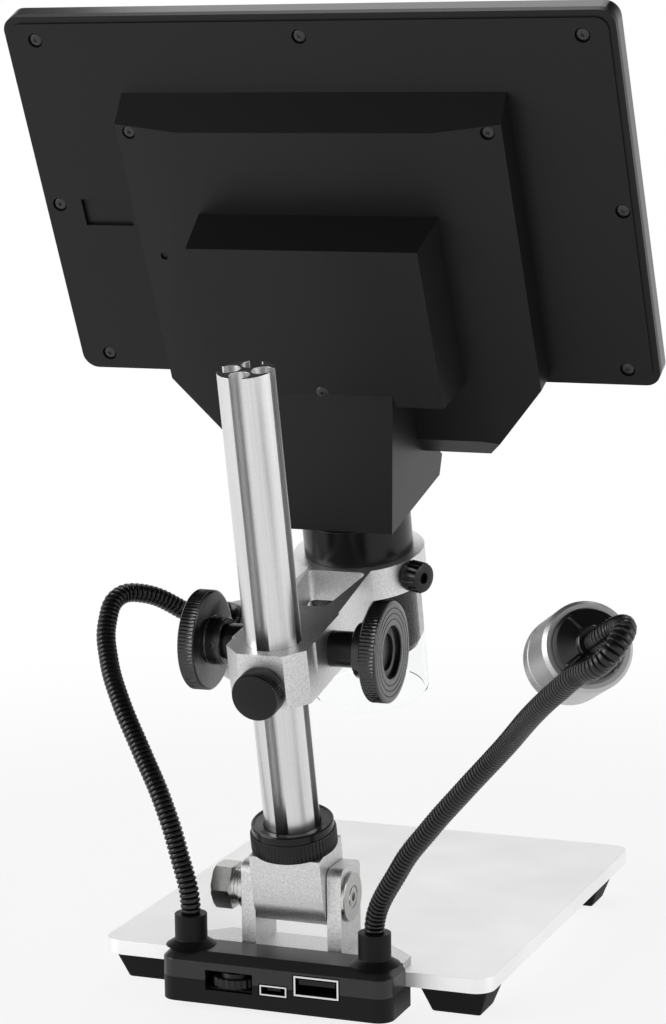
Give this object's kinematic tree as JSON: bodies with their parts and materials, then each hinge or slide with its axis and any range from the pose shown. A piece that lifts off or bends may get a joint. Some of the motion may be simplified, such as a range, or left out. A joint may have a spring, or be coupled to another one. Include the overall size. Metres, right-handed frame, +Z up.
{
  "type": "digital microscope",
  "caption": "Free-standing digital microscope: tilting screen and lens on a rack-driven carriage, grooved leaning column, base plate with light box and ribbed gooseneck lamps.",
  "frame": {"origin": "the middle of the rest face of the rear foot on the +X side, on the plane of the feet", "axes": "+Z up; the screen faces -Y and the light box is on the +Y side; +X is the object's left seen from behind the light box, right seen from the front"},
  "size_m": [0.2106, 0.2287, 0.2751],
  "materials": {
    "plate_aluminium": "fine satin anodised plate",
    "cast_aluminium": "fine bead-blasted silver",
    "column_aluminium": "drawn satin aluminium",
    "zinc_steel": "bright zinc-plated steel",
    "screw_steel": "blackened steel screws",
    "housing_plastic": "fine-textured black housing plastic",
    "black_metal": "black anodised metal",
    "lamp_silver": "satin grey lamp body",
    "rubber_black": "moulded black rubber",
    "cup_clear": "milky translucent cup",
    "optical_glass": "coated optical glass",
    "screen_glass": "dark screen glass",
    "screen_dark": "switched-off screen",
    "circuit_board": "green solder mask",
    "led_white": "white diode on a pale board",
    "socket_steel": "tinned steel sockets",
    "cell_wrap": "shrink-wrapped battery pack",
    "button_plastic": "dark moulded buttons"
  },
  "bodies": {
    "base": {"base_plate": "plate_aluminium", "feet": "rubber_black", "hinge_bracket": "cast_aluminium", "bracket_screws": "zinc_steel", "hinge_bolt": "zinc_steel", "hinge_washers": "zinc_steel", "hinge_nut": "zinc_steel", "light_box_top": "housing_plastic", "light_box_bottom": "housing_plastic", "light_box_board": "circuit_board", "usb_a_socket": "socket_steel", "micro_usb_socket": "socket_steel", "neck_ferrules": "housing_plastic"},
    "dimmer": {"dimmer_wheel": "button_plastic"},
    "column_stand": {"pivot_block": "cast_aluminium", "column": "column_aluminium", "column_rack": "black_metal"},
    "collar": {"column_collar": "black_metal"},
    "carriage": {"carriage_arm": "cast_aluminium"},
    "focus_drive": {"pinion_shaft": "black_metal", "focus_knob_right": "black_metal", "focus_knob_left": "black_metal"},
    "rear_clamp": {"rear_clamp_knob": "black_metal"},
    "ring_clamp": {"ring_clamp_knob": "black_metal"},
    "head": {"lens_neck": "black_metal", "lens_barrel": "black_metal", "objective_lens": "optical_glass", "led_ring_board": "led_white", "clear_cup": "cup_clear", "sensor_board": "circuit_board", "inner_housing": "housing_plastic", "middle_housing": "housing_plastic", "rear_cover": "housing_plastic", "front_frame": "housing_plastic", "screen_glass": "screen_glass", "lcd_panel": "screen_dark", "main_board": "circuit_board", "battery_pack": "cell_wrap", "cover_screws": "screw_steel", "housing_screws": "screw_steel", "hdmi_socket": "socket_steel", "card_slot": "socket_steel"},
    "reset_key": {"reset_button": "button_plastic"},
    "power_slider": {"power_switch": "button_plastic"},
    "left_lamp": {"left_gooseneck": "black_metal", "left_lamp_cap": "button_plastic", "left_lamp_body": "lamp_silver", "left_lamp_lens": "optical_glass", "left_lamp_led": "led_white"},
    "right_lamp": {"right_gooseneck": "black_metal", "right_lamp_cap": "button_plastic", "right_lamp_body": "lamp_silver", "right_lamp_lens": "optical_glass", "right_lamp_led": "led_white"},
    "key_1": {"button_1": "button_plastic"},
    "key_2": {"button_2": "button_plastic"},
    "key_3": {"button_3": "button_plastic"},
    "key_4": {"button_4": "button_plastic"},
    "key_5": {"button_5": "button_plastic"}
  },
  "joints": [
    {"name": "column_tilt", "type": "hinge", "parent": "base", "child": "column_stand", "pos_m": [-0.046, 0.0053, 0.0304], "axis": [1, 0, 0], "range_deg": [-13, 12]},
    {"name": "collar_turn", "type": "hinge", "parent": "column_stand", "child": "collar", "pos_m": [-0.046, 0.00904, 0.04801], "axis": [0, 0.2079, 0.9781], "range_deg": [-180, 180]},
    {"name": "carriage_slide", "type": "slide", "parent": "column_stand", "child": "carriage", "axis": [0, 0.2079, 0.9781], "range_m": [-0.035, 0.055]},
    {"name": "focus_turn", "type": "hinge", "parent": "carriage", "child": "focus_drive", "pos_m": [-0.046, 0.00712, 0.10076], "axis": [1, 0, 0], "range_deg": [-705, 450]},
    {"name": "rear_clamp_turn", "type": "hinge", "parent": "carriage", "child": "rear_clamp", "pos_m": [-0.046, 0.03086, 0.09295], "axis": [0, 0.9781, -0.2079], "range_deg": [-180, 180]},
    {"name": "ring_clamp_turn", "type": "hinge", "parent": "carriage", "child": "ring_clamp", "pos_m": [-0.046, -0.04525, 0.11485], "axis": [-0.9272, 0.3664, -0.0779], "range_deg": [-180, 180]},
    {"name": "head_swivel", "type": "hinge", "parent": "carriage", "child": "head", "pos_m": [-0.046, -0.04433, 0.11916], "axis": [0, 0.2079, 0.9781], "range_deg": [-40, 40]},
    {"name": "dimmer_turn", "type": "hinge", "parent": "base", "child": "dimmer", "pos_m": [-0.0335, 0.0215, 0.0089], "axis": [0, 0, 1], "range_deg": [-135, 135]},
    {"name": "reset_press", "type": "slide", "parent": "head", "child": "reset_key", "axis": [0, -0.9063, 0.4226], "range_m": [0, 0.0005], "stiffness_N_per_m": 400},
    {"name": "power_slide", "type": "slide", "parent": "head", "child": "power_slider", "axis": [0, 0.4226, 0.9063], "range_m": [0, 0.002]},
    {"name": "left_neck_swing", "type": "hinge", "parent": "base", "child": "left_lamp", "pos_m": [-0.0187, 0.0188, 0.0254], "axis": [0, 0, 1], "range_deg": [0, 35]},
    {"name": "right_neck_swing", "type": "hinge", "parent": "base", "child": "right_lamp", "pos_m": [-0.0733, 0.0188, 0.0254], "axis": [0, 0, 1], "range_deg": [-25, 25]},
    {"name": "key_1_press", "type": "slide", "parent": "head", "child": "key_1", "axis": [0, 0.9063, -0.4226], "range_m": [0, 0.0008], "stiffness_N_per_m": 500},
    {"name": "key_2_press", "type": "slide", "parent": "head", "child": "key_2", "axis": [0, 0.9063, -0.4226], "range_m": [0, 0.0008], "stiffness_N_per_m": 500},
    {"name": "key_3_press", "type": "slide", "parent": "head", "child": "key_3", "axis": [0, 0.9063, -0.4226], "range_m": [0, 0.0008], "stiffness_N_per_m": 500},
    {"name": "key_4_press", "type": "slide", "parent": "head", "child": "key_4", "axis": [0, 0.9063, -0.4226], "range_m": [0, 0.0008], "stiffness_N_per_m": 500},
    {"name": "key_5_press", "type": "slide", "parent": "head", "child": "key_5", "axis": [0, 0.9063, -0.4226], "range_m": [0, 0.0008], "stiffness_N_per_m": 500}
  ],
  "couplings": [
    {"joint": "focus_turn", "follows": "carriage_slide", "rad_per_m": -222.22}
  ]
}
